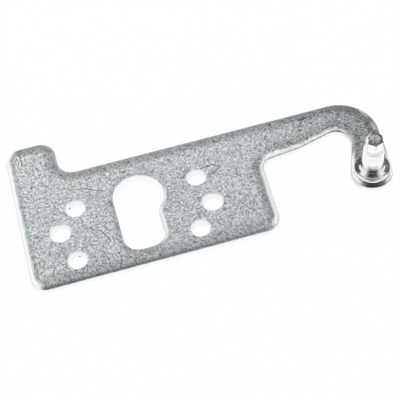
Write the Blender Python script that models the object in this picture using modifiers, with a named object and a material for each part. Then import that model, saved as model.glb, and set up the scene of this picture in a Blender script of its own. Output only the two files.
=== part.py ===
"""Fridge door hinge: a stamped, zinc-plated steel plate with a turned pivot pin riveted into its arm.

Metres, +Z up. The plate lies flat with its underside on Z = 0. X runs along the plate towards the pin,
Y runs from the front edge to the tab, and the origin is under the middle of the overall outline.
"""
import math

import bmesh
import bpy
from mathutils import Vector

# Stamped plate: a body with a tab at one end and a hooked arm at the other
PLATE_THICKNESS = 0.0030
BODY_LENGTH = 0.0830
BODY_WIDTH = 0.0424
BODY_CORNER = 0.0053
END_LEAN = 0.0009
TAB_WIDTH = 0.0170
TAB_HEIGHT = 0.0150
TAB_CORNER = 0.0055
TAB_ROOT_FILLET = 0.0055

# Arm: narrows from its root to the hook, which turns down to the round boss that holds the pin
ARM_ROOT_WIDTH = 0.0155
ARM_ROOT_FILLET = 0.0036
ARM_TAPER = 6.0
ARM_BEND_AT = 0.0140
ARM_BEND_RADIUS = 0.0200
ARM_TAPER_AFTER_BEND = 14.5
PIN_REACH = 0.0335
PIN_DROP = 0.0301
BOSS_MARGIN = 0.0010
HOOK_RADIUS = 0.0135
HOOK_INNER_RADIUS = 0.0050
HOOK_INNER_LEAN = 21.0
HOOK_BULGE = 0.0010

# Edges: the press leaves a wide roll all round the top face and a sharp break underneath
EDGE_ROLL = 0.0022
LEAST_EDGE_WALL = 0.0005
UNDER_EDGE_BREAK = 0.0002
EDGE_ROLL_STEPS = 6
ARC_STEP = 5.0

# Pear-shaped opening in the body: a round lobe over a narrower straight throat
PEAR_LOBE_RADIUS = 0.0083
PEAR_LOBE_FROM_LEFT = 0.0402
PEAR_LOBE_FROM_FRONT = 0.0255
PEAR_LOBE_OVERHANG = 0.0031
PEAR_THROAT_CORNER = 0.0050
PEAR_BOTTOM_FROM_FRONT = 0.0053
PEAR_WAIST_RADIUS = 0.0040
PEAR_RIM_ROLL = 0.0012
PEAR_RIM_STEPS = 4

# Holes, each as a distance along the body and one from its front edge. Those on the left are measured from
# the body's left end, those on the right from the pear-shaped opening's right edge
SCREW_HOLE_RADIUS = 0.0030
SCREW_HOLE_RIM_ROLL = 0.0003
SCREW_HOLES_LEFT = [(0.0192, 0.0268), (0.0160, 0.0072)]
SCREW_HOLES_RIGHT = [(0.0118, 0.0267), (0.0081, 0.0070)]
SIGHTING_HOLE_RADIUS = 0.0032
SIGHTING_HOLE_CHAMFER = 0.0005
SIGHTING_HOLES_LEFT = [(0.0126, 0.0190)]
SIGHTING_HOLES_RIGHT = [(0.0145, 0.0158)]
HOLE_STEPS = 40

# Pivot pin: riveted shank, round collar, slightly tapered shaft and a hexagonal tip
SHANK_RADIUS = 0.0030
RIVET_SPREAD = 0.0012
RIVET_DEPTH = 0.0012
COLLAR_WIDTH = 0.0025
COLLAR_HEIGHT = 0.0010
COLLAR_EDGE_ROUND = 0.00025
SHAFT_RADIUS = 0.0035
SHAFT_TAPER = 0.0001
SHAFT_LENGTH = 0.0085
SHAFT_FOOT_FILLET = 0.0006
SHAFT_EDGE_ROUND = 0.0002
NECK_LEAN = 18.5
HEX_STEP = 0.0005
HEX_TURN = 21.0
TIP_LENGTH = 0.0065
TIP_DISC_RADIUS = 0.00155
TIP_CHAMFER = 38.0
PIN_STEPS = 64
ROUND_STEPS = 3

# Clearance between the two pieces where they seat, and how far a cutter runs past what it cuts
SEAT_GAP = 0.0003
CUT_PAST = 0.0010
CUT_LIP = 0.00002
MERGE_DISTANCE = 0.000001

# Sizes that follow from those above
RIVET_RADIUS = SHANK_RADIUS + RIVET_SPREAD
COLLAR_RADIUS = SHAFT_RADIUS + COLLAR_WIDTH
BOSS_RADIUS = COLLAR_RADIUS + BOSS_MARGIN
SHAFT_FOOT_RADIUS = SHAFT_RADIUS + SHAFT_TAPER
SHAFT_TOP_RADIUS = SHAFT_RADIUS - SHAFT_TAPER
HEX_CORNER_RADIUS = SHAFT_TOP_RADIUS - HEX_STEP
ROLL = min(EDGE_ROLL, PLATE_THICKNESS - LEAST_EDGE_WALL)
COLLAR_TOP = PLATE_THICKNESS + COLLAR_HEIGHT
SHOULDER = COLLAR_TOP + SHAFT_LENGTH
TIP = SHOULDER + TIP_LENGTH

# Places that follow from the sizes above, measured from the body's front left corner
PIN_X = BODY_LENGTH + PIN_REACH
PIN_Y = BODY_WIDTH - PIN_DROP
HOOK_RIGHT = PIN_X + BOSS_RADIUS + HOOK_BULGE
OVERALL_LENGTH = HOOK_RIGHT
OVERALL_WIDTH = BODY_WIDTH + TAB_HEIGHT
ORIGIN = Vector((OVERALL_LENGTH / 2, OVERALL_WIDTH / 2, 0.0))
PEAR_RIGHT = PEAR_LOBE_FROM_LEFT + PEAR_LOBE_RADIUS
SCREW_HOLES = SCREW_HOLES_LEFT + [(PEAR_RIGHT + x, y) for x, y in SCREW_HOLES_RIGHT]
SIGHTING_HOLES = SIGHTING_HOLES_LEFT + [(PEAR_RIGHT + x, y) for x, y in SIGHTING_HOLES_RIGHT]

ZINC_COLOUR = (0.60, 0.61, 0.63, 1.0)
PIN_COLOUR = (0.72, 0.72, 0.73, 1.0)


def clear_scene():
    for obj in list(bpy.data.objects):
        bpy.data.objects.remove(obj, do_unlink=True)


def make_collection(name):
    collection = bpy.data.collections.new(name)
    bpy.context.scene.collection.children.link(collection)
    return collection


def make_material(name, colour, roughness):
    material = bpy.data.materials.new(name)
    material.use_nodes = True
    shader = material.node_tree.nodes["Principled BSDF"]
    shader.inputs["Base Color"].default_value = colour
    shader.inputs["Metallic"].default_value = 1.0
    shader.inputs["Roughness"].default_value = roughness
    return material


def heading(degrees):
    """Unit vector in the plate's plane at an angle from +X."""
    return Vector((math.cos(math.radians(degrees)), math.sin(math.radians(degrees))))


def arc(centre, radius, start, end):
    """Points on a circle from one angle to another, in degrees."""
    count = max(2, math.ceil(abs(end - start) / ARC_STEP))
    return [centre + radius * heading(start + (end - start) * i / count) for i in range(count + 1)]


def crossing(point, along, other_point, other_along):
    """Where two lines in the plane meet."""
    turn = along.x * other_along.y - along.y * other_along.x
    gap = other_point - point
    reach = (gap.x * other_along.y - gap.y * other_along.x) / turn
    return point + along * reach


def fillet(before, corner, after, radius):
    """Arc of a radius that rounds a corner between two straight runs."""
    back = (before - corner).normalized()
    ahead = (after - corner).normalized()
    half_angle = back.angle(ahead) / 2
    centre = corner + (back + ahead).normalized() * radius / math.sin(half_angle)
    tangent = radius / math.tan(half_angle)
    first = corner + back * tangent - centre
    last = corner + ahead * tangent - centre
    start = math.degrees(math.atan2(first.y, first.x))
    swing = math.degrees(math.atan2(last.y, last.x)) - start
    swing = (swing + 180.0) % 360.0 - 180.0
    return arc(centre, radius, start, start + swing)


def plate_outline():
    """Outer edge of the plate, counter-clockwise from its front left corner."""
    front_left = Vector((0.0, 0.0))
    front_right = Vector((BODY_LENGTH - END_LEAN, 0.0))
    arm_root = Vector((BODY_LENGTH, BODY_WIDTH - ARM_ROOT_WIDTH))
    arm_bend = arm_root + ARM_BEND_AT * heading(ARM_TAPER)
    boss = Vector((PIN_X, PIN_Y))
    inner_heading = -90.0 - HOOK_INNER_LEAN
    inner_start = boss + BOSS_RADIUS * heading(inner_heading - 90.0)
    hook_inner = crossing(arm_bend, heading(ARM_TAPER_AFTER_BEND), inner_start, heading(inner_heading))
    hook = Vector((HOOK_RIGHT - HOOK_RADIUS, BODY_WIDTH - HOOK_RADIUS))
    across = hook - boss
    outer_heading = math.degrees(math.atan2(across.y, across.x)
                                 - math.asin((HOOK_RADIUS - BOSS_RADIUS) / across.length))
    tab_foot = Vector((TAB_WIDTH, BODY_WIDTH))
    tab_right = Vector((TAB_WIDTH, BODY_WIDTH + TAB_HEIGHT))
    tab_left = Vector((0.0, BODY_WIDTH + TAB_HEIGHT))

    points = []
    points += fillet(tab_left, front_left, front_right, BODY_CORNER)
    points += fillet(front_left, front_right, arm_root, BODY_CORNER)
    points += fillet(front_right, arm_root, arm_bend, ARM_ROOT_FILLET)
    points += fillet(arm_root, arm_bend, hook_inner, ARM_BEND_RADIUS)
    points += fillet(arm_bend, hook_inner, inner_start, HOOK_INNER_RADIUS)
    points += arc(boss, BOSS_RADIUS, inner_heading + 270.0, outer_heading + 270.0)
    points += arc(hook, HOOK_RADIUS, outer_heading - 90.0, 90.0)
    points += fillet(hook + HOOK_RADIUS * heading(90.0), tab_foot, tab_right, TAB_ROOT_FILLET)
    points += fillet(tab_foot, tab_right, tab_left, TAB_CORNER)
    points += fillet(tab_right, tab_left, front_left, TAB_CORNER)
    return points


def pear_outline():
    """Edge of the pear-shaped opening, counter-clockwise from the throat's left corner."""
    lobe = Vector((PEAR_LOBE_FROM_LEFT, PEAR_LOBE_FROM_FRONT))
    left = lobe.x - PEAR_LOBE_RADIUS
    right = lobe.x + PEAR_LOBE_RADIUS - PEAR_LOBE_OVERHANG
    corner = min(PEAR_THROAT_CORNER, (right - left) * 0.49)
    left_corner = Vector((left + corner, PEAR_BOTTOM_FROM_FRONT + corner))
    right_corner = Vector((right - corner, PEAR_BOTTOM_FROM_FRONT + corner))
    waist_reach = PEAR_LOBE_RADIUS + PEAR_WAIST_RADIUS
    waist_x = right + PEAR_WAIST_RADIUS
    waist_y = lobe.y - math.sqrt(waist_reach ** 2 - (waist_x - lobe.x) ** 2)
    waist_angle = math.degrees(math.atan2(waist_y - lobe.y, waist_x - lobe.x))

    points = []
    points += arc(left_corner, corner, 180.0, 270.0)
    points += arc(right_corner, corner, 270.0, 360.0)
    points += arc(Vector((waist_x, waist_y)), PEAR_WAIST_RADIUS, 180.0, 180.0 + waist_angle)
    points += arc(lobe, PEAR_LOBE_RADIUS, waist_angle, 180.0)
    return points


def drop_repeats(points):
    kept = []
    for point in points:
        if not kept or (point - kept[-1]).length > MERGE_DISTANCE:
            kept.append(point)
    if (kept[0] - kept[-1]).length <= MERGE_DISTANCE:
        kept.pop()
    return kept


def stamped_blank(name, outline, low, high, collection):
    """A flat outline punched from sheet: a filled curve with thickness, made a closed mesh."""
    points = drop_repeats(outline)
    curve = bpy.data.curves.new(name, "CURVE")
    curve.dimensions = "2D"
    curve.fill_mode = "BOTH"
    curve.extrude = (high - low) / 2
    spline = curve.splines.new("POLY")
    spline.points.add(len(points) - 1)
    for spline_point, point in zip(spline.points, points):
        spline_point.co = (point.x - ORIGIN.x, point.y - ORIGIN.y, 0.0, 1.0)
    spline.use_cyclic_u = True
    source = bpy.data.objects.new(name + "_curve", curve)
    source.location.z = (low + high) / 2
    collection.objects.link(source)
    bpy.context.view_layer.update()
    evaluated = source.evaluated_get(bpy.context.evaluated_depsgraph_get())
    mesh = bpy.data.meshes.new_from_object(evaluated)
    mesh.name = name
    blank = bpy.data.objects.new(name, mesh)
    blank.matrix_world = source.matrix_world.copy()
    collection.objects.link(blank)
    bpy.data.objects.remove(source, do_unlink=True)
    weld(blank)
    return blank


def weld(obj):
    """Join the loose caps to the walls and leave one flat face on each side."""
    mesh = bmesh.new()
    mesh.from_mesh(obj.data)
    bmesh.ops.transform(mesh, matrix=obj.matrix_basis, verts=mesh.verts)
    bmesh.ops.remove_doubles(mesh, verts=mesh.verts, dist=MERGE_DISTANCE)
    bmesh.ops.dissolve_limit(mesh, angle_limit=math.radians(0.5), verts=mesh.verts, edges=mesh.edges)
    bmesh.ops.recalc_face_normals(mesh, faces=mesh.faces)
    mesh.to_mesh(obj.data)
    mesh.free()
    obj.location = (0.0, 0.0, 0.0)


def square_edges(mesh, height, faces_up):
    """Edges at one height where a flat face meets an upright wall."""
    level = 1.0 if faces_up else -1.0
    found = []
    for edge in mesh.edges:
        if any(abs(vert.co.z - height) > MERGE_DISTANCE for vert in edge.verts):
            continue
        slopes = sorted((face.normal.z * level for face in edge.link_faces), reverse=True)
        if len(slopes) == 2 and slopes[0] > 0.99 and abs(slopes[1]) < 0.01:
            found.append(edge)
    return found


def round_edges(obj, height, faces_up, width, steps):
    """Roll or break the square edges that a blank has at one height."""
    mesh = bmesh.new()
    mesh.from_mesh(obj.data)
    bmesh.ops.bevel(mesh, geom=square_edges(mesh, height, faces_up), offset=width, offset_type="OFFSET",
                    affect="EDGES", segments=steps, profile=0.5, material=-1, loop_slide=False)
    mesh.to_mesh(obj.data)
    mesh.free()


def turned(name, profile, steps, place, collection):
    """A turned solid: a half section, from the top of its axis down its outer side, spun round Z."""
    mesh = bpy.data.meshes.new(name)
    mesh.from_pydata([(x, 0.0, z) for x, z in profile], [(i, i + 1) for i in range(len(profile) - 1)], [])
    obj = bpy.data.objects.new(name, mesh)
    obj.location = place
    collection.objects.link(obj)
    spin = obj.modifiers.new("Spin", "SCREW")
    spin.axis = "Z"
    spin.steps = steps
    spin.render_steps = steps
    spin.use_merge_vertices = True
    spin.merge_threshold = MERGE_DISTANCE
    spin.use_smooth_shade = True
    return obj


def quarter(centre, radius, start, end, steps):
    """Points of a rounded edge in a half section."""
    return [(centre[0] + radius * math.cos(math.radians(start + (end - start) * i / steps)),
             centre[1] + radius * math.sin(math.radians(start + (end - start) * i / steps)))
            for i in range(steps + 1)]


def as_cutter(obj):
    obj.hide_render = True
    obj.display_type = "WIRE"
    return obj


def combine(target, other, operation):
    step = target.modifiers.new(operation.title(), "BOOLEAN")
    step.operation = operation
    step.solver = "EXACT"
    step.object = other


def apply_modifiers(obj):
    """Keep the shape that the modifiers give as the object's own mesh."""
    bpy.context.view_layer.update()
    evaluated = obj.evaluated_get(bpy.context.evaluated_depsgraph_get())
    mesh = bpy.data.meshes.new_from_object(evaluated)
    mesh.name = obj.name
    obj.modifiers.clear()
    obj.data = mesh


def finish_surface(obj, material):
    obj.data.materials.clear()
    obj.data.materials.append(material)
    obj.data.shade_smooth()
    obj.data.set_sharp_from_angle(angle=math.radians(32.0))


def from_corner(x, y, z=0.0):
    """A place given from the body's front left corner, in the part's frame."""
    return Vector((x, y, z)) - ORIGIN


def screw_hole_cutter(number, place, collection):
    """Through hole whose top rim is rolled in by the punch."""
    top = PLATE_THICKNESS + CUT_LIP
    rim = SCREW_HOLE_RADIUS + SCREW_HOLE_RIM_ROLL
    profile = [(0.0, top + CUT_PAST), (rim, top + CUT_PAST)]
    profile += quarter((rim, top - SCREW_HOLE_RIM_ROLL), SCREW_HOLE_RIM_ROLL, 90.0, 180.0, ROUND_STEPS)
    profile += [(SCREW_HOLE_RADIUS, -CUT_PAST), (0.0, -CUT_PAST)]
    return as_cutter(turned(f"screw_hole_{number}", profile, HOLE_STEPS, from_corner(*place), collection))


def sighting_hole_cutter(number, place, collection):
    """Larger through hole with a chamfered mouth."""
    top = PLATE_THICKNESS + CUT_PAST
    mouth = SIGHTING_HOLE_RADIUS + SIGHTING_HOLE_CHAMFER + CUT_PAST
    profile = [(0.0, top), (mouth, top), (SIGHTING_HOLE_RADIUS, PLATE_THICKNESS - SIGHTING_HOLE_CHAMFER)]
    profile += [(SIGHTING_HOLE_RADIUS, -CUT_PAST), (0.0, -CUT_PAST)]
    return as_cutter(turned(f"sighting_hole_{number}", profile, HOLE_STEPS, from_corner(*place), collection))


def rivet_hole_cutter(collection):
    """Bore for the pin's shank, countersunk underneath for its riveted tail."""
    bore = SHANK_RADIUS + SEAT_GAP
    sink = RIVET_RADIUS + SEAT_GAP
    widening = (RIVET_RADIUS - SHANK_RADIUS) / RIVET_DEPTH
    profile = [(0.0, PLATE_THICKNESS + CUT_PAST), (bore, PLATE_THICKNESS + CUT_PAST), (bore, RIVET_DEPTH)]
    profile += [(sink + widening * CUT_PAST, -CUT_PAST), (0.0, -CUT_PAST)]
    return as_cutter(turned("rivet_hole", profile, PIN_STEPS, from_corner(PIN_X, PIN_Y), collection))


def make_hinge_plate(parts, cutters, material):
    plate = stamped_blank("hinge_plate", plate_outline(), 0.0, PLATE_THICKNESS, parts)
    round_edges(plate, PLATE_THICKNESS, True, ROLL, EDGE_ROLL_STEPS)
    round_edges(plate, 0.0, False, UNDER_EDGE_BREAK, 1)

    pear = stamped_blank("pear_punch", pear_outline(), -CUT_PAST, PLATE_THICKNESS + CUT_PAST, cutters)
    combine(plate, as_cutter(pear), "DIFFERENCE")
    apply_modifiers(plate)
    round_edges(plate, PLATE_THICKNESS, True, PEAR_RIM_ROLL, PEAR_RIM_STEPS)

    for number, place in enumerate(SCREW_HOLES, start=1):
        combine(plate, screw_hole_cutter(number, place, cutters), "DIFFERENCE")
    for number, place in enumerate(SIGHTING_HOLES, start=1):
        combine(plate, sighting_hole_cutter(number, place, cutters), "DIFFERENCE")
    combine(plate, rivet_hole_cutter(cutters), "DIFFERENCE")
    apply_modifiers(plate)
    finish_surface(plate, material)
    return plate


def pin_profile():
    """Half section of the pin without its hexagon, from the hidden top of the neck to the riveted tail."""
    collar_under = PLATE_THICKNESS + SEAT_GAP
    neck_top_radius = HEX_CORNER_RADIUS * 0.78
    neck_top = SHOULDER + (SHAFT_TOP_RADIUS - neck_top_radius) / math.tan(math.radians(NECK_LEAN))
    edge = SHAFT_EDGE_ROUND
    foot = SHAFT_FOOT_FILLET
    rim = COLLAR_EDGE_ROUND

    profile = [(0.0, neck_top), (neck_top_radius, neck_top)]
    profile += quarter((SHAFT_TOP_RADIUS - edge, SHOULDER - edge), edge, 90.0 - NECK_LEAN * 2, 0.0, ROUND_STEPS)
    profile += quarter((SHAFT_FOOT_RADIUS + foot, COLLAR_TOP + foot), foot, 180.0, 270.0, ROUND_STEPS + 1)
    profile += quarter((COLLAR_RADIUS - rim, COLLAR_TOP - rim), rim, 90.0, 0.0, ROUND_STEPS)
    profile += [(COLLAR_RADIUS, collar_under), (SHANK_RADIUS, collar_under), (SHANK_RADIUS, RIVET_DEPTH)]
    profile += [(RIVET_RADIUS, 0.0), (0.0, 0.0)]
    return profile


def make_pivot_pin(parts, cutters, material):
    axis = from_corner(PIN_X, PIN_Y)
    pin = turned("pivot_pin", pin_profile(), PIN_STEPS, axis, parts)

    hex_foot = SHOULDER - CUT_PAST
    hex_length = TIP + CUT_PAST - hex_foot
    mesh = bmesh.new()
    bmesh.ops.create_cone(mesh, cap_ends=True, segments=6, radius1=HEX_CORNER_RADIUS,
                          radius2=HEX_CORNER_RADIUS, depth=hex_length)
    bmesh.ops.translate(mesh, vec=(0.0, 0.0, hex_foot + hex_length / 2), verts=mesh.verts)
    hexagon_mesh = bpy.data.meshes.new("hexagon")
    mesh.to_mesh(hexagon_mesh)
    mesh.free()
    hexagon = bpy.data.objects.new("hexagon", hexagon_mesh)
    hexagon.location = axis
    hexagon.rotation_euler.z = math.radians(HEX_TURN)
    cutters.objects.link(hexagon)

    envelope_radius = HEX_CORNER_RADIUS + CUT_PAST
    envelope_drop = (envelope_radius - TIP_DISC_RADIUS) * math.tan(math.radians(TIP_CHAMFER))
    envelope_profile = [(0.0, TIP), (TIP_DISC_RADIUS, TIP), (envelope_radius, TIP - envelope_drop),
                        (envelope_radius, hex_foot - CUT_PAST), (0.0, hex_foot - CUT_PAST)]
    envelope = as_cutter(turned("tip_envelope", envelope_profile, PIN_STEPS, axis, cutters))
    combine(hexagon, envelope, "INTERSECT")
    combine(pin, as_cutter(hexagon), "UNION")
    apply_modifiers(pin)
    finish_surface(pin, material)
    return pin


def main():
    clear_scene()
    parts = make_collection("fridge_door_hinge")
    cutters = make_collection("cutters")
    zinc = make_material("zinc_plated_sheet", ZINC_COLOUR, 0.42)
    bright = make_material("bright_turned_steel", PIN_COLOUR, 0.22)
    make_hinge_plate(parts, cutters, zinc)
    make_pivot_pin(parts, cutters, bright)


main()
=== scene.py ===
import math
from types import SimpleNamespace

import bmesh
import bpy
from bmesh.types import BMFace, BMVert
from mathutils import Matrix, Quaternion, Vector, noise
from mathutils.bvhtree import BVHTree


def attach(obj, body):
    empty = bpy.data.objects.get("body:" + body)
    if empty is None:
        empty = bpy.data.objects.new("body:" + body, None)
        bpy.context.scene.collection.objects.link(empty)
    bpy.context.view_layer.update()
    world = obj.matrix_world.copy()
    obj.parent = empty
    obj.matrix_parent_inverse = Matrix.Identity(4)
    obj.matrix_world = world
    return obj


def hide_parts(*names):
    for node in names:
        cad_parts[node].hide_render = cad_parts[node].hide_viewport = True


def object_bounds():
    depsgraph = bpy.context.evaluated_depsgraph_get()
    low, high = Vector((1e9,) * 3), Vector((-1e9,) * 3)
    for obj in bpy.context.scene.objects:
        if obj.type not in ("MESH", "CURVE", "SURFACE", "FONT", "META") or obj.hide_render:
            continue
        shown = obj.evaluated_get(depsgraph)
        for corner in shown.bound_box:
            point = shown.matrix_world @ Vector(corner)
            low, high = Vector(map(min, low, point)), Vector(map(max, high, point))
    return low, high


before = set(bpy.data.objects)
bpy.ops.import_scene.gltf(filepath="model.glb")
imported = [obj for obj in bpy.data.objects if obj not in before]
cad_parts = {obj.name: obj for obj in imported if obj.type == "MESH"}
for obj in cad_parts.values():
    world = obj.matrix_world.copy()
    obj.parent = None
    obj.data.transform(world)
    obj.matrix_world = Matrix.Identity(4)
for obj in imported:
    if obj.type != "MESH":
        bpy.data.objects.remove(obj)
CAD_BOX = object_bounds()

# Everything here is in metres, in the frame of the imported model; sizes in millimetres are times MM
MM = 0.001
MERGE = 0.001 * MM

# Sheet: a body with a tab, an arm and a hook, measured from the body's front left corner
SHEET = 3.0 * MM
BODY_LENGTH = 83.0 * MM
BODY_WIDTH = 42.4 * MM
BODY_CORNER = 5.3 * MM
END_LEAN = 0.9 * MM
TAB_WIDTH = 17.0 * MM
TAB_HEIGHT = 15.0 * MM
TAB_CORNER = 5.5 * MM
ARM_ROOT_WIDTH = 15.5 * MM
ARM_ROOT_FILLET = 3.6 * MM
ARM_TAPER = 6.0
ARM_BEND_AT = 14.0 * MM
ARM_BEND_RADIUS = 20.0 * MM
ARM_TAPER_AFTER_BEND = 14.5
PIN_X = BODY_LENGTH + 33.5 * MM
PIN_Y = BODY_WIDTH - 30.1 * MM
BOSS_RADIUS = 7.0 * MM
HOOK_RADIUS = 13.5 * MM
HOOK_INNER_RADIUS = 5.0 * MM
HOOK_INNER_LEAN = 21.0
HOOK_RIGHT = PIN_X + 8.0 * MM
ORIGIN = Vector((HOOK_RIGHT / 2, (BODY_WIDTH + TAB_HEIGHT) / 2, 0.0))

# Pressed edge: how deep the top face rolls down at the rim, and how far in the roll reaches
UNDER_BREAK = 0.2 * MM
ROLL_DROP = 1.5 * MM
LEFT_ROLL_EXTRA = 0.3
ROLL_REACH = 5.0 * MM
ROLL_POWER = 4
ROLL_RINGS = 14
RINGS_REACH = 3.3 * MM
RINGS_CROWD = 1.9
FLAT_RIM = 0.3 * MM
ARC_STEP = math.radians(3.0)
FACE_GRID = 1.4 * MM
GRID_SNAP = 0.02 * MM
LEVEL_SLACK = 0.01 * MM
FACE_WAVE = 0.012 * MM
FACE_WAVE_LENGTH = 14.0 * MM

# Pear-shaped opening
PEAR_LOBE = (40.2 * MM, 25.5 * MM)
PEAR_LOBE_RADIUS = 8.3 * MM
PEAR_THROAT_WIDTH = 13.5 * MM
PEAR_THROAT_CORNER = 5.0 * MM
PEAR_BOTTOM = 5.3 * MM
PEAR_WAIST_RADIUS = 4.0 * MM
PEAR_ROLL = 0.2 * MM
PEAR_TAIL_DROP = 0.3 * MM
PEAR_TAIL_REACH = 3.0 * MM
PEAR_STEPS = 8

# Holes: centre, radius and the depth of the rolled or chamfered rim
SCREW_HOLES = [(19.2, 26.8), (16.0, 7.2), (60.3, 26.7), (56.6, 7.0)]
SCREW_HOLE_RADIUS = 3.0 * MM
SCREW_HOLE_RIM = 0.3 * MM
WIDE_HOLES = [(12.6, 19.0), (63.0, 15.8)]
WIDE_HOLE_RADIUS = 3.2 * MM
WIDE_HOLE_RIM = 0.5 * MM
HOLE_STEPS = 60

# How much a hole's outermost ring shares its wall's pale colour; on the rims this pale, matt colour is a
# painted highlight
RIM_SHARE = 0.45
RIM_SLACK = 0.02 * MM

# Pin, from its riveted tail to its hexagonal tip
SEAT_GAP = 0.3 * MM
SHANK_RADIUS = 3.0 * MM
RIVET_RADIUS = 4.2 * MM
RIVET_DEPTH = 1.2 * MM
COLLAR_RADIUS = 6.0 * MM
COLLAR_TOP = SHEET + 1.0 * MM
COLLAR_ROUND = 0.25 * MM
SHAFT_FOOT_RADIUS = 3.6 * MM
SHAFT_TOP_RADIUS = 3.4 * MM
SHOULDER = COLLAR_TOP + 9.6 * MM
FOOT_FILLET = 1.8 * MM
SHAFT_ROUND = 0.2 * MM
NECK_LEAN = 62.0
HEX_CORNER_RADIUS = 2.95 * MM
HEX_TURN = 50.0
HEX_CORNER_BREAK = 0.07 * MM
NECK_TOP_RADIUS = HEX_CORNER_RADIUS * 0.78
TIP = COLLAR_TOP + 15.0 * MM
TIP_DISC_RADIUS = 2.0 * MM
TIP_CHAMFER = 24.0
TURNED_STEPS = 96
CUT_PAST = 1.0 * MM

# Creases sharper than these stay sharp, in degrees
PLATE_SHARP = 35.0
PIN_SHARP = 28.0

# Finishes: colours are linear, grain is in cells a metre
ZINC_GRAIN = 4200.0
ZINC_DARK = (0.06, 0.063, 0.066, 1.0)
ZINC_LIGHT = (0.916, 0.959, 1.0, 1.0)
# Painted highlight along the rolled edges
ZINC_RIM_HIGHLIGHT = (0.98, 0.985, 0.975, 1.0)
ZINC_WALL = (0.955, 0.975, 0.985, 1.0)
# Painted shade on walls that face left or back, darker still in the pear's throat
ZINC_SHADED_LEFT_WALL = (0.75, 0.765, 0.775, 1.0)
ZINC_SHADED_SIDE_WALL = (0.66, 0.68, 0.69, 1.0)
ZINC_SHADED_PEAR_WALL = (0.30, 0.30, 0.31, 1.0)
ZINC_CLOUD = (0.93, 0.95, 0.94, 1.0)
ZINC_BLOOM = (0.98, 1.0, 0.95, 1.0)
HAIRLINE_COLOUR = (0.26, 0.27, 0.28, 1.0)
SCRATCH_COLOUR = (0.13, 0.135, 0.14, 1.0)
NICK_COLOUR = (0.92, 0.93, 0.94, 1.0)
SCUFF_COLOUR = (0.93, 0.93, 0.91, 1.0)
SPECK_COLOUR = (0.04, 0.04, 0.045, 1.0)
ARM_TONE = 0.86
HOOK_TONE = 0.74
ZINC_BUMP = 0.03 * MM
PIN_GRAIN = 1100.0
PIN_DARK = (0.90, 0.90, 0.88, 1.0)
PIN_LIGHT = (0.98, 0.98, 0.965, 1.0)
# The tip's end: painted dark reflection with a mottle, and painted shade lines round it
PIN_END_SHADE_DARK = (0.14, 0.14, 0.155, 1.0)
PIN_END_SHADE_LIGHT = (0.60, 0.60, 0.61, 1.0)
PIN_END_SHADE_LINE = (0.13, 0.135, 0.15, 1.0)
PIN_END_FRONT_SHADE_LINE = (0.42, 0.42, 0.46, 1.0)
# Painted shade lines along the hexagon's front corners and round the pin's steps
PIN_SHADE_LINE = (0.66, 0.66, 0.60, 1.0)
# Painted shade and reflections round the pin's foot
PIN_FOOT_SHADE = (0.085, 0.088, 0.10, 1.0)
PIN_BUMP = 0.003 * MM

# Scratches and nicks on the plate's face, in millimetres in the model's frame: start, end and half width
DARK_SCRATCHES = [
    ((-41.2, -10.4), (-36.4, -13.1), 0.26), ((-36.4, -13.1), (-34.6, -17.2), 0.20),
    ((0.4, 1.0), (2.4, 1.4), 0.26), ((2.4, 1.4), (4.3, 1.3), 0.26),
    ((4.3, 1.3), (5.7, 0.6), 0.26), ((5.7, 0.6), (6.6, -0.3), 0.26),
    ((6.0, -0.8), (4.4, -2.0), 0.26), ((4.4, -2.0), (2.1, -2.1), 0.26),
    ((11.6, -3.3), (11.4, -5.3), 0.26), ((11.4, -5.3), (12.5, -6.3), 0.26),
    ((-45.5, 7.2), (-38.0, 4.6), 0.16), ((-38.0, 4.6), (-33.0, 2.4), 0.22),
    ((8.5, -14.9), (14.5, -22.9), 0.16), ((37.6, 10.2), (40.4, 10.4), 0.40),
    ((36.2, 7.4), (38.2, 7.8), 0.36), ((35.8, 5.6), (37.2, 6.2), 0.26),
    ((38.2, 9.6), (37.9, 8.6), 0.26), ((-57.1, 25.4), (-56.9, 20.4), 0.20),
    ((-58.3, 24.6), (-58.0, 21.4), 0.14)]
BRIGHT_NICKS = [
    ((-57.7, 25.6), (-57.5, 20.2), 0.20), ((-56.3, 25.2), (-56.0, 21.3), 0.20),
    ((-54.2, 13.2), (-49.6, 11.9), 0.14)]
MARK_WANDER = 0.6 * MM

# Hairlines: turn, seed and rarity of each set
HAIRLINES = [(0.35, 3.0, 0.73), (-0.6, 8.0, 0.74), (1.5, 21.0, 0.76)]

# Scuffs on the hook's outer edge, in millimetres: start, end, half width and strength
SCUFFS = [((58.7, 7.4, 2.2), (59.8, 4.8, 2.2), 1.0, 0.85), ((60.5, 1.3, 2.3), (60.6, -0.8, 2.3), 1.2, 0.45)]

# Specks on the walls of the holes, in millimetres: centre and radius
SPECKS = [((-44.9, 0.5, 0.5), 0.36), ((-45.4, -18.6, 0.25), 0.30)]

# Painted shade and reflections round the pin's foot: direction, cosine at the soft and the full edge, inner
# and outer radius, height at the soft and the full edge, all in millimetres, and strength
PIN_FOOT_SHADES = [
    (125.0, 0.76, 0.87, 3.75, 5.8, 3.6, 2.4, 1.0), (15.0, 0.78, 0.90, 3.75, 5.8, 3.6, 2.4, 0.95),
    (165.0, 0.80, 0.92, 4.3, 5.8, 2.0, 1.2, 1.0), (340.0, 0.80, 0.92, 4.2, 5.8, 2.0, 1.2, 0.95),
    (190.0, 0.84, 0.94, 5.0, 5.5, 1.2, 0.6, 0.9), (319.0, 0.84, 0.94, 4.9, 5.4, 1.2, 0.6, 0.85),
    (251.0, 0.78, 0.97, 2.0, 4.7, 5.8, 2.2, 0.95), (251.0, 0.74, 0.96, 4.3, 5.7, 1.2, 0.6, 0.6)]

# Other painted light on the pin: directions of the foot's painted sheen and of the hexagon's front corners,
# and the heights and strengths of the painted shade lines round it
PIN_SHEEN = (208.0, 297.0)
HEX_FRONT_CORNERS = (HEX_TURN + 150.0, HEX_TURN + 210.0, HEX_TURN + 270.0)
PIN_LEVEL_SHADE_LINES = ((SHOULDER + 0.15 * MM, 1.0), (SHOULDER - 1.4 * MM, 0.6))

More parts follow.
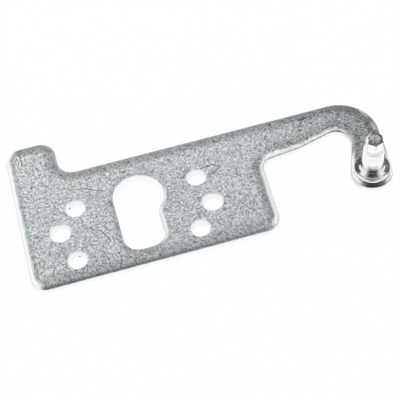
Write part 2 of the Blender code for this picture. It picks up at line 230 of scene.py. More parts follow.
# Light that the metal sees along an arch from the front horizon over the top to the back one
ARCH = [(0.0, 0.25), (0.06, 0.12), (0.20, 0.13), (0.34, 0.38), (0.48, 0.76), (0.60, 1.0), (0.70, 1.0),
        (0.79, 0.74), (0.84, 0.64), (0.93, 0.64), (0.98, 0.95), (1.0, 1.0)]
SIDE_LIGHT = (1.0, 1.0, 1.0, 1.0)
BACK_RIGHT_LIGHT = (0.90, 0.90, 0.90, 1.0)
FLOOR_GLOW = 0.94
FLOOR_GLOW_IN_METAL = 0.97
FLOOR_COLOUR = (0.9, 0.9, 0.9, 1.0)
FLOOR_HALF_WIDTH = 3.0
FLOOR_DROP = 0.02 * MM
LAMP_PLACE = (-0.1, 0.3, 1.3)
LAMP_WIDTH = 1.2
LAMP_DEPTH = 0.9
LAMP_POWER = 6.0

# Kinds of socket on the node groups
VECTOR = "NodeSocketVector"
NUMBER = "NodeSocketFloat"

# View: where the photograph was taken from, fitted to the plate's outline
VIEW_TARGET = Vector((-2.71 * MM, -9.13 * MM, 0.0))
VIEW_DISTANCE = 373.5 * MM
VIEW_ELEVATION = 55.70
VIEW_TURN = 8.94
VIEW_ROLL = -7.36
VIEW_LENS = 101.9


def spot(x, y, z=0.0):
    """A place measured from the body's front left corner, in the model's frame."""
    return Vector((x, y, z)) - ORIGIN


def heading(degrees):
    """Level direction at an angle from +X."""
    return Vector((math.cos(math.radians(degrees)), math.sin(math.radians(degrees)), 0.0))


def in_metres(sizes):
    return tuple(size * MM for size in sizes)


def line_to(bm, pen, place):
    """Draw on from the pen to a place."""
    vert = bm.verts.new(place)
    bm.edges.new((pen, vert))
    return vert


def only(items, kind):
    """The faces or the vertices among what an operator gives back."""
    return [item for item in items if isinstance(item, kind)]


def sweep(bm, pen, centre, angle):
    """Carry the pen round a centre; a positive angle turns left."""
    steps = max(3, math.ceil(abs(angle) / ARC_STEP))
    swept = bmesh.ops.spin(bm, geom=[pen], cent=centre, axis=(0, 0, 1), angle=angle, steps=steps)
    return only(swept["geom_last"], BMVert)[0]


def round_corner(bm, pen, corner, after, radius):
    """Run straight towards a corner and round it off."""
    back = (pen.co - corner).normalized()
    ahead = (after - corner).normalized()
    half = back.angle(ahead) / 2
    pen = line_to(bm, pen, corner + back * radius / math.tan(half))
    centre = corner + (back + ahead).normalized() * radius / math.sin(half)
    turn = math.copysign(math.pi - 2 * half, ahead.cross(back).z)
    return sweep(bm, pen, centre, turn)


def crossing(point, along, other, other_along):
    """Where two level lines meet."""
    turn = along.x * other_along.y - along.y * other_along.x
    gap = other - point
    return point + along * (gap.x * other_along.y - gap.y * other_along.x) / turn


def close_face(bm):
    """Join the pen line's two ends and fill it."""
    bmesh.ops.remove_doubles(bm, verts=bm.verts, dist=MERGE)
    ends = [vert for vert in bm.verts if len(vert.link_edges) == 1]
    if ends:
        bm.edges.new(ends)
    made = bmesh.ops.contextual_create(bm, geom=bm.edges[:])
    face = made["faces"][0]
    if face.normal.z < 0:
        face.normal_flip()
    return face


def draw_plate_edge(bm, z):
    """The punched outline, counter-clockwise."""
    front_left = spot(0, 0, z)
    front_right = spot(BODY_LENGTH - END_LEAN, 0, z)
    arm_root = spot(BODY_LENGTH, BODY_WIDTH - ARM_ROOT_WIDTH, z)
    arm_bend = arm_root + ARM_BEND_AT * heading(ARM_TAPER)
    boss = spot(PIN_X, PIN_Y, z)
    inner = -90.0 - HOOK_INNER_LEAN
    inner_end = boss + BOSS_RADIUS * heading(inner - 90.0)
    hook_inner = crossing(arm_bend, heading(ARM_TAPER_AFTER_BEND), inner_end, heading(inner))
    hook = spot(HOOK_RIGHT - HOOK_RADIUS, BODY_WIDTH - HOOK_RADIUS, z)
    across = hook - boss
    outer = math.atan2(across.y, across.x) - math.asin((HOOK_RADIUS - BOSS_RADIUS) / across.length)
    outer_normal = Vector((math.sin(outer), -math.cos(outer), 0.0))
    tab_foot = spot(TAB_WIDTH, BODY_WIDTH, z)
    tab_right = spot(TAB_WIDTH, BODY_WIDTH + TAB_HEIGHT, z)
    tab_left = spot(0, BODY_WIDTH + TAB_HEIGHT, z)

    pen = bm.verts.new((front_left + tab_left) / 2)
    pen = round_corner(bm, pen, front_left, front_right, BODY_CORNER)
    pen = round_corner(bm, pen, front_right, arm_root, BODY_CORNER)
    pen = round_corner(bm, pen, arm_root, arm_bend, ARM_ROOT_FILLET)
    pen = round_corner(bm, pen, arm_bend, hook_inner, ARM_BEND_RADIUS)
    pen = round_corner(bm, pen, hook_inner, inner_end, HOOK_INNER_RADIUS)
    pen = line_to(bm, pen, inner_end)
    pen = sweep(bm, pen, boss, outer - math.radians(inner))
    pen = line_to(bm, pen, hook + HOOK_RADIUS * outer_normal)
    pen = sweep(bm, pen, hook, math.pi - outer)
    pen = round_corner(bm, pen, tab_foot, tab_right, TAB_CORNER)
    pen = round_corner(bm, pen, tab_right, tab_left, TAB_CORNER)
    round_corner(bm, pen, tab_left, front_left, TAB_CORNER)
    return close_face(bm)


def draw_pear_edge(bm, z, margin):
    """The pear-shaped opening, drawn a margin outside its wall."""
    lobe = spot(*PEAR_LOBE, z)
    left = lobe.x - PEAR_LOBE_RADIUS - margin
    right = lobe.x - PEAR_LOBE_RADIUS + PEAR_THROAT_WIDTH + margin
    front = spot(0, PEAR_BOTTOM, z).y - margin
    waist_x = right + PEAR_WAIST_RADIUS - margin
    reach = PEAR_LOBE_RADIUS + PEAR_WAIST_RADIUS
    waist = Vector((waist_x, lobe.y - math.sqrt(reach ** 2 - (waist_x - lobe.x) ** 2), z))
    turn = math.atan2(lobe.y - waist.y, waist.x - lobe.x)

    pen = bm.verts.new((left, lobe.y, z))
    front_left, front_right = Vector((left, front, z)), Vector((right, front, z))
    throat_end = Vector((right, waist.y, z))
    pen = round_corner(bm, pen, front_left, front_right, PEAR_THROAT_CORNER + margin)
    pen = round_corner(bm, pen, front_right, throat_end, PEAR_THROAT_CORNER + margin)
    pen = line_to(bm, pen, throat_end)
    pen = sweep(bm, pen, waist, -turn)
    sweep(bm, pen, lobe, math.pi + turn)
    return close_face(bm)


def step_in(bm, face, across, up=0.0):
    """Leave a ring of faces round a face's rim."""
    bmesh.ops.inset_region(bm, faces=[face], thickness=across, depth=up, use_boundary=True,
                           use_even_offset=True)


def plate_shell():
    """The sheet without its openings: under break, upright wall and the rolled edge's rings, still level."""
    bm = bmesh.new()
    under = draw_plate_edge(bm, UNDER_BREAK)
    raised = bmesh.ops.extrude_face_region(bm, geom=[under], use_keep_orig=True)
    top = only(raised["geom"], BMFace)[0]
    bmesh.ops.translate(bm, vec=(0, 0, SHEET - UNDER_BREAK), verts=top.verts)
    if top.normal.z < 0:
        top.normal_flip()
    reach = [RINGS_REACH * (i / ROLL_RINGS) ** RINGS_CROWD for i in range(ROLL_RINGS + 1)]
    for outer, inner in zip(reach, reach[1:]):
        step_in(bm, top, inner - outer)
    if under.normal.z > 0:
        under.normal_flip()
    step_in(bm, under, UNDER_BREAK, UNDER_BREAK)
    step_in(bm, under, FLAT_RIM)
    bmesh.ops.delete(bm, geom=[top, under], context="FACES_ONLY")
    return bm


def add_pear(bm):
    """Wall and rolled rim of the pear-shaped opening."""
    pear = bmesh.new()
    rim = draw_pear_edge(pear, SHEET, PEAR_ROLL + FLAT_RIM)
    step_in(pear, rim, FLAT_RIM)
    for i in range(PEAR_STEPS):
        low = math.radians(90.0 * i / PEAR_STEPS)
        high = math.radians(90.0 * (i + 1) / PEAR_STEPS)
        across = PEAR_ROLL * (math.sin(high) - math.sin(low))
        down = PEAR_ROLL * (math.cos(low) - math.cos(high))
        step_in(pear, rim, across, -down)
    lowered = bmesh.ops.extrude_face_region(pear, geom=[rim])
    floor = only(lowered["geom"], BMFace)[0]
    bmesh.ops.translate(pear, vec=(0, 0, PEAR_ROLL - SHEET), verts=floor.verts)
    flat = [face for face in pear.faces if len(face.verts) > 8]
    bmesh.ops.delete(pear, geom=flat, context="FACES_ONLY")
    merge_in(bm, pear)


def merge_in(bm, other):
    """Add another mesh's pieces to this one."""
    mesh = bpy.data.meshes.new("joined")
    other.to_mesh(mesh)
    other.free()
    bm.from_mesh(mesh)
    bpy.data.meshes.remove(mesh)


def turn_section(bm, section, centre, steps):
    """Spin a half section, given as radius and height, all the way round an upright axis."""
    verts = [bm.verts.new(centre + Vector((radius, 0.0, z))) for radius, z in section]
    edges = [bm.edges.new(pair) for pair in zip(verts, verts[1:])]
    bmesh.ops.spin(bm, geom=verts + edges, cent=centre, axis=(0, 0, 1), angle=math.tau, steps=steps,
                   use_merge=True)


def quarter(centre, radius, start, end, steps):
    return [(centre[0] + radius * math.cos(math.radians(start + (end - start) * i / steps)),
             centre[1] + radius * math.sin(math.radians(start + (end - start) * i / steps)))
            for i in range(steps + 1)]


def add_hole(bm, x, y, radius, rim, rolled):
    section = [(radius + FLAT_RIM, 0.0), (radius, 0.0)]
    if rolled:
        section += quarter((radius + rim, SHEET - rim), rim, 180.0, 90.0, 4)
    else:
        section += [(radius, SHEET - rim), (radius + rim, SHEET)]
    section += [(radius + rim + FLAT_RIM, SHEET)]
    turn_section(bm, section, spot(x, y), HOLE_STEPS)


def add_rivet_bore(bm):
    bore = SHANK_RADIUS + SEAT_GAP
    sink = RIVET_RADIUS + SEAT_GAP
    section = [(sink + FLAT_RIM, 0.0), (sink, 0.0), (bore, RIVET_DEPTH), (bore, SHEET)]
    turn_section(bm, section, spot(PIN_X, PIN_Y), TURNED_STEPS)


def fill_flat(bm, z):
    """Fill one flat side between the outer rim and the rims of the openings."""
    rims = [edge for edge in bm.edges if edge.is_boundary
            and all(abs(vert.co.z - z) < LEVEL_SLACK for vert in edge.verts)]
    bmesh.ops.triangle_fill(bm, use_beauty=True, use_dissolve=False, edges=rims, normal=(0, 0, 1))


def grid_face(bm):
    """Cut the level top face into a fine grid, so that it can carry the roll's soft tail."""
    level = [face for face in bm.faces if face.normal.z > 0.99
             and all(vert.co.z > SHEET - MERGE for vert in face.verts)]
    chosen = set(level)
    rims = [item for items in (bm.verts, bm.edges) for item in items if chosen.intersection(item.link_faces)]
    geom = rims + level
    for axis in (0, 1):
        low, high = CAD_BOX[0][axis], CAD_BOX[1][axis]
        for i in range(1, math.floor((high - low) / FACE_GRID) + 1):
            place, normal = Vector(), Vector()
            place[axis] = low + i * FACE_GRID
            normal[axis] = 1.0
            cut = bmesh.ops.bisect_plane(bm, geom=geom, dist=GRID_SNAP, plane_co=place, plane_no=normal)
            geom = cut["geom"]


def walls_over(bm, face):
    """Upright walls over an outline, to measure distances from."""
    raised = bmesh.ops.extrude_face_region(bm, geom=[face], use_keep_orig=True)
    top = only(raised["geom"], BMVert)
    bmesh.ops.translate(bm, vec=(0, 0, SHEET), verts=top)
    bm.normal_update()
    bmesh.ops.delete(bm, geom=[face for face in bm.faces if abs(face.normal.z) > 0.5], context="FACES_ONLY")
    walls = BVHTree.FromBMesh(bm)
    bm.free()
    return walls


# What each point of the sheet keeps for its finish: distances in millimetres, and which way the rim faces
KEPT = ("from_edge", "edge_side", "edge_back", "from_pear", "pear_side", "sheared")


def press_edges(bm):
    """Lower the top face towards the rims, and keep each point's distance from them for the finish."""
    outline, opening = bmesh.new(), bmesh.new()
    outer_walls = walls_over(outline, draw_plate_edge(outline, 0.0))
    pear_walls = walls_over(opening, draw_pear_edge(opening, 0.0, 0.0))
    from_edge, edge_side, edge_back, from_pear, pear_side, sheared = (bm.verts.layers.float.new(name)
                                                                      for name in KEPT)
    rims = [(spot(x * MM, y * MM), SCREW_HOLE_RADIUS + SCREW_HOLE_RIM) for x, y in SCREW_HOLES]
    rims += [(spot(x * MM, y * MM), WIDE_HOLE_RADIUS + WIDE_HOLE_RIM) for x, y in WIDE_HOLES]
    for vert in bm.verts:
        place = Vector((vert.co.x, vert.co.y, SHEET / 2))
        _, facing, _, outer = outer_walls.find_nearest(place)
        near, _, _, pear = pear_walls.find_nearest(place)
        level_place = Vector((vert.co.x, vert.co.y, 0.0))
        into_rim = max(radius - (level_place - centre).length for centre, radius in rims)
        vert[from_edge] = outer / MM
        vert[from_pear] = pear / MM
        vert[edge_side] = facing.x
        vert[edge_back] = facing.y
        vert[pear_side] = (place - near).normalized().x if pear > MERGE else 0.0
        on_wall = into_rim > RIM_SLACK or pear < PEAR_ROLL * 0.9
        vert[sheared] = 1.0 if on_wall else RIM_SHARE if into_rim > -RIM_SLACK else 0.0
        if vert.co.z > SHEET / 2:
            share = max(0.0, 1.0 - outer / ROLL_REACH)
            deeper = 1.0 + LEFT_ROLL_EXTRA * max(0.0, -facing.x) ** 2
            drop = ROLL_DROP * deeper * (1.0 - math.sqrt(1.0 - share ** ROLL_POWER))
            drop += PEAR_TAIL_DROP * max(0.0, 1.0 - pear / PEAR_TAIL_REACH) ** 2
            wave = noise.noise(vert.co / FACE_WAVE_LENGTH) * FACE_WAVE
            vert.co.z -= drop + max(0.0, FACE_WAVE + wave)


def finish_piece(bm, name, node, material, sharp):
    """Keep a mesh as a finished piece that stands for a CAD node."""
    bmesh.ops.remove_doubles(bm, verts=bm.verts, dist=MERGE)
    bmesh.ops.recalc_face_normals(bm, faces=bm.faces)
    mesh = bpy.data.meshes.new(name)
    bm.to_mesh(mesh)
    bm.free()
    mesh.shade_smooth()
    mesh.set_sharp_from_angle(angle=math.radians(sharp))
    piece = bpy.data.objects.new(name, mesh)
    bpy.context.scene.collection.objects.link(piece)
    mesh.materials.append(material)
    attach(piece, "root")
    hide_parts(node)
    return piece


def make_plate(material):
    bm = plate_shell()
    add_pear(bm)
    for x, y in SCREW_HOLES:
        add_hole(bm, x * MM, y * MM, SCREW_HOLE_RADIUS, SCREW_HOLE_RIM, True)
    for x, y in WIDE_HOLES:
        add_hole(bm, x * MM, y * MM, WIDE_HOLE_RADIUS, WIDE_HOLE_RIM, False)
    add_rivet_bore(bm)
    bmesh.ops.remove_doubles(bm, verts=bm.verts, dist=MERGE)
    fill_flat(bm, SHEET)
    fill_flat(bm, 0.0)
    bmesh.ops.recalc_face_normals(bm, faces=bm.faces)
    grid_face(bm)
    press_edges(bm)
    return finish_piece(bm, "plate_sheet", "hinge_plate", material, PLATE_SHARP)


def boolean(target, other, operation):
    """Combine two meshes and keep the result."""
    step = target.modifiers.new(operation.title(), "BOOLEAN")
    step.operation = operation
    step.solver = "EXACT"
    step.object = other
    bpy.context.view_layer.update()
    mesh = bpy.data.meshes.new_from_object(target.evaluated_get(bpy.context.evaluated_depsgraph_get()))
    target.modifiers.clear()
    target.data = mesh
    bpy.data.objects.remove(other, do_unlink=True)


def as_object(bm, name):
    bmesh.ops.remove_doubles(bm, verts=bm.verts, dist=MERGE)
    bmesh.ops.recalc_face_normals(bm, faces=bm.faces)
    mesh = bpy.data.meshes.new(name)
    bm.to_mesh(mesh)
    bm.free()
    obj = bpy.data.objects.new(name, mesh)
    bpy.context.scene.collection.objects.link(obj)
    return obj


def make_pin(material):
    axis = spot(PIN_X, PIN_Y)
    neck_top = SHOULDER + (SHAFT_TOP_RADIUS - NECK_TOP_RADIUS) / math.tan(math.radians(NECK_LEAN))
    collar_under = SHEET + SEAT_GAP
    shoulder_round = (SHAFT_TOP_RADIUS - SHAFT_ROUND, SHOULDER - SHAFT_ROUND)
    foot_round = (SHAFT_FOOT_RADIUS + FOOT_FILLET, COLLAR_TOP + FOOT_FILLET)
    collar_round = (COLLAR_RADIUS - COLLAR_ROUND, COLLAR_TOP - COLLAR_ROUND)

    section = [(0.0, neck_top), (NECK_TOP_RADIUS, neck_top)]
    section += quarter(shoulder_round, SHAFT_ROUND, NECK_LEAN, 0.0, 4)
    section += quarter(foot_round, FOOT_FILLET, 180.0, 270.0, 6)
    section += quarter(collar_round, COLLAR_ROUND, 90.0, 0.0, 5)
    section += [(COLLAR_RADIUS, collar_under), (SHANK_RADIUS, collar_under), (SHANK_RADIUS, RIVET_DEPTH),
                (RIVET_RADIUS, 0.0), (0.0, 0.0)]
    body = bmesh.new()
    turn_section(body, section, axis, TURNED_STEPS)
    pin = as_object(body, "pin_body")

    hex_foot = SHOULDER - CUT_PAST
    hex_top = TIP + CUT_PAST
    hexagon = bmesh.new()
    bmesh.ops.create_cone(hexagon, cap_ends=True, segments=6, radius1=HEX_CORNER_RADIUS,
                          radius2=HEX_CORNER_RADIUS, depth=hex_top - hex_foot)
    corners = [edge for edge in hexagon.edges if abs(edge.verts[0].co.z - edge.verts[1].co.z) > CUT_PAST]
    bmesh.ops.bevel(hexagon, geom=corners, offset=HEX_CORNER_BREAK, affect="EDGES", segments=3, profile=0.5,
                    material=-1)
    turn = Quaternion((0, 0, 1), math.radians(HEX_TURN)).to_matrix()
    bmesh.ops.rotate(hexagon, cent=(0, 0, 0), matrix=turn, verts=hexagon.verts)
    bmesh.ops.translate(hexagon, vec=axis + Vector((0, 0, (hex_foot + hex_top) / 2)), verts=hexagon.verts)
    tip = as_object(hexagon, "pin_tip")

    wide = HEX_CORNER_RADIUS + CUT_PAST
    drop = (wide - TIP_DISC_RADIUS) * math.tan(math.radians(TIP_CHAMFER))
    envelope = bmesh.new()
    below = hex_foot - CUT_PAST
    section = [(0.0, TIP), (TIP_DISC_RADIUS, TIP), (wide, TIP - drop), (wide, below), (0.0, below)]
    turn_section(envelope, section, axis, TURNED_STEPS)
    boolean(tip, as_object(envelope, "tip_envelope"), "INTERSECT")
    boolean(pin, tip, "UNION")
    bm = bmesh.new()
    bm.from_mesh(pin.data)
    bpy.data.objects.remove(pin, do_unlink=True)
    return finish_piece(bm, "pin_turned", "pivot_pin", material, PIN_SHARP)


def add(tree, kind, **settings):
    node = tree.nodes.new(kind)
    for key, value in settings.items():
        setattr(node, key, value)
    return node


def feed(tree, socket, value):
    """Set a socket, or link it when the value is another node's output."""
    if isinstance(value, bpy.types.NodeSocket):
        tree.links.new(value, socket)
    else:
        socket.default_value = value


def calc(tree, operation, a, b=0.0, c=0.0):
    node = add(tree, "ShaderNodeMath", operation=operation)
    for socket, value in zip(node.inputs, (a, b, c)):
        feed(tree, socket, value)
    return node.outputs[0]


def times(tree, *masks):
    """Product of several values; of masks, where every one holds."""
    whole = masks[0]
    for mask in masks[1:]:
        whole = calc(tree, "MULTIPLY", whole, mask)
    return whole


def most(tree, *masks):
    """Where any one of the masks holds."""
    whole = masks[0]
    for mask in masks[1:]:
        whole = calc(tree, "MAXIMUM", whole, mask)
    return whole


def outside(tree, mask):
    """Where a mask doesn't hold."""
    return calc(tree, "SUBTRACT", 1.0, mask)


def linear(tree, value, gain, base):
    """A value times a gain, plus a base."""
    return calc(tree, "MULTIPLY_ADD", value, gain, base)


def vector_calc(tree, operation, a, b=(0.0, 0.0, 0.0)):
    node = add(tree, "ShaderNodeVectorMath", operation=operation)
    feed(tree, node.inputs[0], a)
    feed(tree, node.inputs[1], b)
    gives_number = operation in ("DOT_PRODUCT", "LENGTH", "DISTANCE")
    return node.outputs["Value" if gives_number else "Vector"]


def split_up(tree, vector):
    """A vector's three parts."""
    node = add(tree, "ShaderNodeSeparateXYZ")
    feed(tree, node.inputs[0], vector)
    return node.outputs[0], node.outputs[1], node.outputs[2]


def stretch(tree, value, low, high, to_low=0.0, to_high=1.0, smooth=True):
    """Map one range to another, eased at both ends."""
    node = add(tree, "ShaderNodeMapRange", interpolation_type="SMOOTHSTEP" if smooth else "LINEAR")
    for name, given in (("Value", value), ("From Min", low), ("From Max", high), ("To Min", to_low),
                        ("To Max", to_high)):
        feed(tree, node.inputs[name], given)
    return node.outputs["Result"]


def fade(tree, mask, off, full):
    """One value where a mask is off and another where it is full."""
    return stretch(tree, mask, 0.0, 1.0, off, full)


def blend(tree, share, a, b, mode="MIX"):
    """Mix two colours."""
    node = add(tree, "ShaderNodeMix", data_type="RGBA", blend_type=mode)
    feed(tree, node.inputs["Factor"], share)
    feed(tree, node.inputs["A"], a)
    feed(tree, node.inputs["B"], b)
    return node.outputs["Result"]


def tint(tree, share, colour, by):
    """Multiply a colour by another where a mask holds."""
    return blend(tree, share, colour, blend(tree, 1.0, colour, by, "MULTIPLY"))


def mottle(tree, vector, scale, detail=2.0, roughness=0.5, distortion=0.0):
    node = add(tree, "ShaderNodeTexNoise")
    feed(tree, node.inputs["Vector"], vector)
    for name, value in (("Scale", scale), ("Detail", detail), ("Roughness", roughness),
                        ("Distortion", distortion)):
        feed(tree, node.inputs[name], value)
    return node.outputs["Fac"]


def turned_space(tree, vector, location=(0, 0, 0), rotation=(0, 0, 0), scale=(1, 1, 1)):
    node = add(tree, "ShaderNodeMapping")
    feed(tree, node.inputs["Vector"], vector)
    node.inputs["Location"].default_value = location
    node.inputs["Rotation"].default_value = rotation
    node.inputs["Scale"].default_value = scale
    return node.outputs["Vector"]


def new_group(name, inputs, outputs):
    """A shader node group with named sockets."""
    tree = bpy.data.node_groups.new(name, "ShaderNodeTree")
    for label, kind, value in inputs:
        socket = tree.interface.new_socket(name=label, in_out="INPUT", socket_type=kind)
        if value is not None:
            socket.default_value = value
    for label, kind in outputs:
        tree.interface.new_socket(name=label, in_out="OUTPUT", socket_type=kind)
    return tree, tree.nodes.new("NodeGroupInput"), tree.nodes.new("NodeGroupOutput")


def use(tree, group, **values):
    node = add(tree, "ShaderNodeGroup", node_tree=group)
    for name, value in values.items():
        feed(tree, node.inputs[name.replace("_", " ").capitalize()], value)
    return node


def spangle_group():
    """Fine crystalline grain of zinc plating: dark threads and pits on a grey ground, and wide clouds."""
    tree, given, out = new_group("zinc_spangle", [("Place", VECTOR, None), ("Grain", NUMBER, 2000.0)],
                                 [("Shade", NUMBER), ("Height", NUMBER), ("Cloud", NUMBER)])
    place, grain = given.outputs["Place"], given.outputs["Grain"]
    fine = mottle(tree, place, grain, 1.0, 0.5, 0.3)
    ground = stretch(tree, fine, 0.30, 0.70, smooth=False)
    threads = []
    for share, offset in ((0.42, 0.0), (0.68, 0.31)):
        moved = vector_calc(tree, "ADD", place, (offset, offset, 0.0))
        worm = mottle(tree, moved, times(tree, grain, share), 1.5, 0.5, 1.0)
        ridge = calc(tree, "ABSOLUTE", calc(tree, "SUBTRACT", worm, 0.5))
        broken = stretch(tree, mottle(tree, moved, times(tree, grain, 0.3), 1.0), 0.42, 0.58)
        threads.append(times(tree, stretch(tree, ridge, 0.045, 0.0), broken))
    thread = most(tree, *threads)
    shade = linear(tree, ground, 1.08, 0.425)
    shade = calc(tree, "SUBTRACT", shade, times(tree, thread, 2.1))
    cloud = mottle(tree, place, 110.0, 3.0, 0.6, 0.4)
    shade = calc(tree, "ADD", shade, times(tree, calc(tree, "SUBTRACT", cloud, 0.5), 0.5))
    feed(tree, out.inputs["Shade"], shade)
    feed(tree, out.inputs["Height"], shade)
    feed(tree, out.inputs["Cloud"], cloud)
    return tree


def hairline_group():
    """Long thin handling marks in one direction, as a mask."""
    tree, given, out = new_group("hairlines", [("Place", VECTOR, None), ("Turn", NUMBER, 0.0),
                                               ("Seed", NUMBER, 0.0), ("Rarity", NUMBER, 0.70)],
                                 [("Mask", NUMBER)])
    spin = add(tree, "ShaderNodeVectorRotate", rotation_type="Z_AXIS")
    feed(tree, spin.inputs["Vector"], given.outputs["Place"])
    feed(tree, spin.inputs["Angle"], given.outputs["Turn"])
    long_way = turned_space(tree, spin.outputs[0], scale=(45.0, 1500.0, 45.0))
    shift = add(tree, "ShaderNodeCombineXYZ")
    feed(tree, shift.inputs[0], given.outputs["Seed"])
    feed(tree, shift.inputs[2], given.outputs["Seed"])
    lines = mottle(tree, vector_calc(tree, "ADD", long_way, shift.outputs[0]), 1.0, 1.0, 0.5, 0.15)
    mask = stretch(tree, lines, given.outputs["Rarity"], calc(tree, "ADD", given.outputs["Rarity"], 0.06))
    feed(tree, out.inputs["Mask"], mask)
    return tree


def nick_group():
    """One straight nick between two places, slightly wandering, as a mask."""
    tree, given, out = new_group("nick", [("Place", VECTOR, None), ("Start", VECTOR, None),
                                          ("End", VECTOR, None), ("Width", NUMBER, 0.2 * MM)],
                                 [("Mask", NUMBER)])
    along = vector_calc(tree, "SUBTRACT", given.outputs["End"], given.outputs["Start"])
    away = vector_calc(tree, "SUBTRACT", given.outputs["Place"], given.outputs["Start"])
    part = calc(tree, "DIVIDE", vector_calc(tree, "DOT_PRODUCT", away, along),
                vector_calc(tree, "DOT_PRODUCT", along, along))
    part = stretch(tree, part, 0.0, 1.0, smooth=False)
    scaled = add(tree, "ShaderNodeVectorMath", operation="SCALE")
    feed(tree, scaled.inputs[0], along)
    feed(tree, scaled.inputs["Scale"], part)
    gap = vector_calc(tree, "LENGTH", vector_calc(tree, "SUBTRACT", away, scaled.outputs[0]))
    mask = stretch(tree, gap, given.outputs["Width"], times(tree, given.outputs["Width"], 0.3))
    feed(tree, out.inputs["Mask"], mask)
    return tree


def wander(tree, place, amount):
    """The same place, shifted a little by coarse noise in the plate's plane."""
    node = add(tree, "ShaderNodeTexNoise")
    feed(tree, node.inputs["Vector"], place)
    node.inputs["Scale"].default_value = 420.0
    node.inputs["Detail"].default_value = 1.0
    push = vector_calc(tree, "SUBTRACT", node.outputs["Color"], (0.5, 0.5, 0.5))
    push = vector_calc(tree, "MULTIPLY", push, (amount, amount, 0.0))
    return vector_calc(tree, "ADD", place, push)


def start_material(name):
    material = bpy.data.materials.new(name)
    material.use_nodes = True
    return material, material.node_tree, material.node_tree.nodes["Principled BSDF"]


def add_bump(tree, shader, height, distance):
    bump = add(tree, "ShaderNodeBump")
    bump.inputs["Strength"].default_value = 1.0
    bump.inputs["Distance"].default_value = distance
    feed(tree, bump.inputs["Height"], height)
    feed(tree, shader.inputs["Normal"], bump.outputs[0])


def nicks(tree, nick, place, marks):
    """Every nick of a list on the face, as one mask."""
    masks = [use(tree, nick, place=place, start=(*in_metres(start), SHEET), end=(*in_metres(end), SHEET),
                 width=width * MM).outputs[0] for start, end, width in marks]
    return most(tree, *masks)


def plate_regions(tree, place, x, y, kept):
    """Masks for the arm's inside, the hook and the boss, and for which way each rim faces."""
    off_pin = vector_calc(tree, "SUBTRACT", place, tuple(spot(PIN_X, PIN_Y)))
    off_pin = vector_calc(tree, "LENGTH", vector_calc(tree, "MULTIPLY", off_pin, (1.0, 1.0, 0.0)))
    boss = stretch(tree, off_pin, 10.0 * MM, 7.2 * MM)
    on_hook = calc(tree, "SUBTRACT", stretch(tree, x, 26.0 * MM, 36.0 * MM), boss)
    to_left = stretch(tree, kept.edge_side, -0.15, -0.8)
    to_front = stretch(tree, kept.edge_back, -0.3, -0.9)
    to_right = times(tree, stretch(tree, kept.edge_side, 0.3, 0.8),
                     stretch(tree, y, 14.5 * MM, 12.5 * MM, 0.1, 1.0), fade(tree, on_hook, 1.0, 0.15))
    hook_left = times(tree, to_left, fade(tree, on_hook, 1.0, 0.25))
    frontward = linear(tree, kept.edge_back, -0.966, times(tree, kept.edge_side, -0.259))
    boss_front = times(tree, boss, stretch(tree, frontward, 0.62, 0.98))
    arm_inside = times(tree, most(tree, to_front, hook_left), stretch(tree, x, 21.0 * MM, 23.0 * MM),
                       outside(tree, boss_front))
    return SimpleNamespace(boss=boss, boss_front=boss_front, on_hook=on_hook, hook_left=hook_left,
                           arm_inside=arm_inside, to_left=to_left, to_right=to_right, to_front=to_front)


def painted_rim_highlight(tree, place, x, y, kept, at):
    """Painted highlight along the rolled edges and the pear's lower right side, left out in a thin line at
    their foot where the painted shade shows.
    """
    ragged = times(tree, calc(tree, "SUBTRACT", mottle(tree, place, 650.0, 2.0, 0.6), 0.5), at.arm_inside)
    ragged = linear(tree, ragged, 2.2, kept.from_edge)
    inner_corner = times(tree, stretch(tree, y, -8.0 * MM, -2.0 * MM),
                         stretch(tree, x, 28.0 * MM, 22.0 * MM, 0.0, 0.7))
    narrow = most(tree, fade(tree, at.boss, 0.0, 0.4), fade(tree, at.on_hook, 0.0, 0.6),
                  times(tree, inner_corner, at.to_right))
    right_end = times(tree, at.to_right, stretch(tree, x, 12.0 * MM, 18.0 * MM, 0.0, 0.75),
                      outside(tree, most(tree, at.on_hook, at.boss)))
    # Painted shade: a thin line at the edge's foot where the highlight is left out
    foot_shade_line = times(tree, stretch(tree, kept.from_edge, 0.42, 0.15), most(tree, at.arm_inside, right_end))
    rim = times(tree, stretch(tree, calc(tree, "ADD", ragged, narrow), 2.2, 1.0),
                most(tree, at.arm_inside, at.hook_left, at.to_right),
                outside(tree, at.boss_front), outside(tree, foot_shade_line))
    pear_rim_highlight = times(tree, stretch(tree, kept.from_pear, 1.6, 0.9),
                     stretch(tree, kept.pear_side, 0.2, 0.95),
                     stretch(tree, y, spot(0, 29.0 * MM).y, spot(0, 22.0 * MM).y, 0.2, 0.85))
    return most(tree, rim, pear_rim_highlight)


def plate_shade_and_tone(tree, x, y, kept, at):
    """How much the face darkens: painted shade towards its rims, round the pear and along the boss's front
    edge, and a darker tone along the arm and over the hook with a drift across the face.
    """
    reach = linear(tree, at.to_left, -2.2, 5.8)
    least = linear(tree, most(tree, at.to_left, at.to_front), 0.12,
                   stretch(tree, y, 20.0 * MM, 26.0 * MM, 0.66, 0.57))
    edge_shade = fade(tree, stretch(tree, kept.from_edge, reach, 2.2), 1.0, least)
    pear_shade = stretch(tree, kept.from_pear, 2.6, 0.8, 1.0, 0.72)
    arm_tone = stretch(tree, stretch(tree, x, 12.0 * MM, 40.0 * MM), 0.0, 1.0, 1.0, ARM_TONE, smooth=False)
    hook_tone = stretch(tree, x, 42.0 * MM, 54.0 * MM, 1.0, HOOK_TONE)
    drift = linear(tree, y, 3.4, linear(tree, x, -0.7, 1.0))
    # Painted shade along the boss's front edge
    boss_shade_ring = times(tree, at.boss_front, stretch(tree, kept.from_edge, 1.7, 1.2))
    return times(tree, calc(tree, "MINIMUM", edge_shade, pear_shade), arm_tone, hook_tone, drift,
                 fade(tree, boss_shade_ring, 1.0, 0.4))


